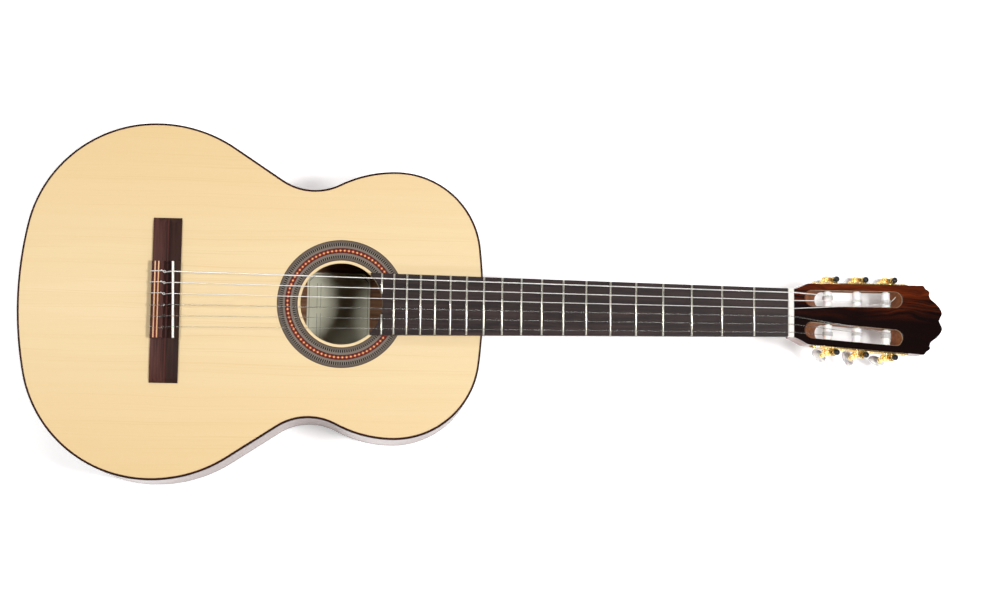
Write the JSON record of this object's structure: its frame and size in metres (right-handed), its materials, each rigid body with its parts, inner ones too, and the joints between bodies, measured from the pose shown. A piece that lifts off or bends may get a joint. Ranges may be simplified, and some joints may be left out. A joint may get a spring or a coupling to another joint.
{
  "type": "classical guitar",
  "caption": "Full-size classical guitar lying on its back, with a slotted head, geared tuning machines, inlaid rosette and tied bridge.",
  "frame": {"origin": "middle of the guitar's length and width, on the surface that its back rests on", "axes": "+X along the neck towards the head, +Y towards the bass side, +Z out of the soundboard"},
  "size_m": [0.994, 0.3786, 0.1128],
  "materials": {
    "soundboard": "gloss lacquer over straight-grained spruce",
    "rosette": "wood mosaic inlay under gloss lacquer",
    "body_wood": "gloss lacquer over dark reddish mahogany",
    "binding": "gloss lacquer over dark wood",
    "lining": "bare wood",
    "bracing": "bare spruce",
    "neck": "satin lacquer over mahogany",
    "head_veneer": "gloss lacquer over figured dark wood",
    "fretboard": "oiled dark wood",
    "fret_metal": "polished nickel silver",
    "bridge": "satin dark wood",
    "bone": "polished bone substitute",
    "roller": "smooth white plastic",
    "gold": "polished gold plate",
    "dark_ball": "smooth black",
    "pearl": "marbled pearl plastic",
    "string_nylon": "clear monofilament",
    "string_wound": "silvered wire winding",
    "label": "plain matt paper"
  },
  "bodies": {
    "root": {"back_bar_lower": "bracing", "back_bar_middle": "bracing", "back_bar_upper": "bracing", "back_plate": "body_wood", "binding_back": "binding", "binding_top": "binding", "bridge": "bridge", "fan_strut_1": "bracing", "fan_strut_2": "bracing", "fan_strut_3": "bracing", "fan_strut_4": "bracing", "fan_strut_5": "bracing", "fretboard": "fretboard", "harmonic_bar_lower": "bracing", "harmonic_bar_upper": "bracing", "head_veneer": "head_veneer", "heel_cap": "binding", "lining_back": "lining", "lining_top": "lining", "neck": "neck", "neck_block": "lining", "nut": "bone", "plate_bass": "gold", "plate_treble": "gold", "rib_bass": "body_wood", "rib_treble": "body_wood", "rosette": "rosette", "saddle": "bone", "soundboard": "soundboard", "string_1": "string_nylon", "string_2": "string_nylon", "string_3": "string_nylon", "string_4": "string_wound", "string_5": "string_wound", "string_6": "string_wound", "tail_block": "lining"},
    "knob_1": {"worm_1": "gold", "button_1": "pearl"},
    "spindle_1": {"roller_1": "roller", "gear_1": "gold"},
    "knob_2": {"worm_2": "gold", "button_2": "pearl"},
    "spindle_2": {"roller_2": "roller", "gear_2": "gold"},
    "knob_3": {"worm_3": "gold", "button_3": "pearl"},
    "spindle_3": {"roller_3": "roller", "gear_3": "gold"},
    "knob_4": {"worm_4": "gold", "button_4": "pearl"},
    "spindle_4": {"roller_4": "roller", "gear_4": "gold"},
    "knob_5": {"worm_5": "gold", "button_5": "pearl"},
    "spindle_5": {"roller_5": "roller", "gear_5": "gold"},
    "knob_6": {"worm_6": "gold", "button_6": "pearl"},
    "spindle_6": {"roller_6": "roller", "gear_6": "gold"}
  },
  "joints": [
    {"name": "knob_1_turn", "type": "hinge", "parent": "root", "child": "knob_1", "pos_m": [0.37223, -0.03962, 0.07987], "axis": [0.2588, 0, 0.9659], "continuous": true},
    {"name": "spindle_1_turn", "type": "hinge", "parent": "root", "child": "spindle_1", "pos_m": [0.3648, -0.03935, 0.08186], "axis": [0.0348, 0.9994, -0.0093], "continuous": true},
    {"name": "knob_2_turn", "type": "hinge", "parent": "root", "child": "knob_2", "pos_m": [0.40602, -0.04088, 0.07082], "axis": [0.2588, 0, 0.9659], "continuous": true},
    {"name": "spindle_2_turn", "type": "hinge", "parent": "root", "child": "spindle_2", "pos_m": [0.39859, -0.04061, 0.07281], "axis": [0.0348, 0.9994, -0.0093], "continuous": true},
    {"name": "knob_3_turn", "type": "hinge", "parent": "root", "child": "knob_3", "pos_m": [0.43981, -0.04214, 0.06177], "axis": [0.2588, 0, 0.9659], "continuous": true},
    {"name": "spindle_3_turn", "type": "hinge", "parent": "root", "child": "spindle_3", "pos_m": [0.43237, -0.04187, 0.06376], "axis": [0.0348, 0.9994, -0.0093], "continuous": true},
    {"name": "knob_4_turn", "type": "hinge", "parent": "root", "child": "knob_4", "pos_m": [0.43981, 0.04214, 0.06177], "axis": [0.2588, 0, 0.9659], "continuous": true},
    {"name": "spindle_4_turn", "type": "hinge", "parent": "root", "child": "spindle_4", "pos_m": [0.43237, 0.04187, 0.06376], "axis": [-0.0348, 0.9994, 0.0093], "continuous": true},
    {"name": "knob_5_turn", "type": "hinge", "parent": "root", "child": "knob_5", "pos_m": [0.40602, 0.04088, 0.07082], "axis": [0.2588, 0, 0.9659], "continuous": true},
    {"name": "spindle_5_turn", "type": "hinge", "parent": "root", "child": "spindle_5", "pos_m": [0.39859, 0.04061, 0.07281], "axis": [-0.0348, 0.9994, 0.0093], "continuous": true},
    {"name": "knob_6_turn", "type": "hinge", "parent": "root", "child": "knob_6", "pos_m": [0.37223, 0.03962, 0.07987], "axis": [0.2588, 0, 0.9659], "continuous": true},
    {"name": "spindle_6_turn", "type": "hinge", "parent": "root", "child": "spindle_6", "pos_m": [0.3648, 0.03935, 0.08186], "axis": [-0.0348, 0.9994, 0.0093], "continuous": true}
  ],
  "couplings": [
    {"joint": "spindle_1_turn", "follows": "knob_1_turn", "ratio": 0.071429},
    {"joint": "spindle_2_turn", "follows": "knob_2_turn", "ratio": 0.071429},
    {"joint": "spindle_3_turn", "follows": "knob_3_turn", "ratio": 0.071429},
    {"joint": "spindle_4_turn", "follows": "knob_4_turn", "ratio": 0.071429},
    {"joint": "spindle_5_turn", "follows": "knob_5_turn", "ratio": 0.071429},
    {"joint": "spindle_6_turn", "follows": "knob_6_turn", "ratio": 0.071429}
  ]
}
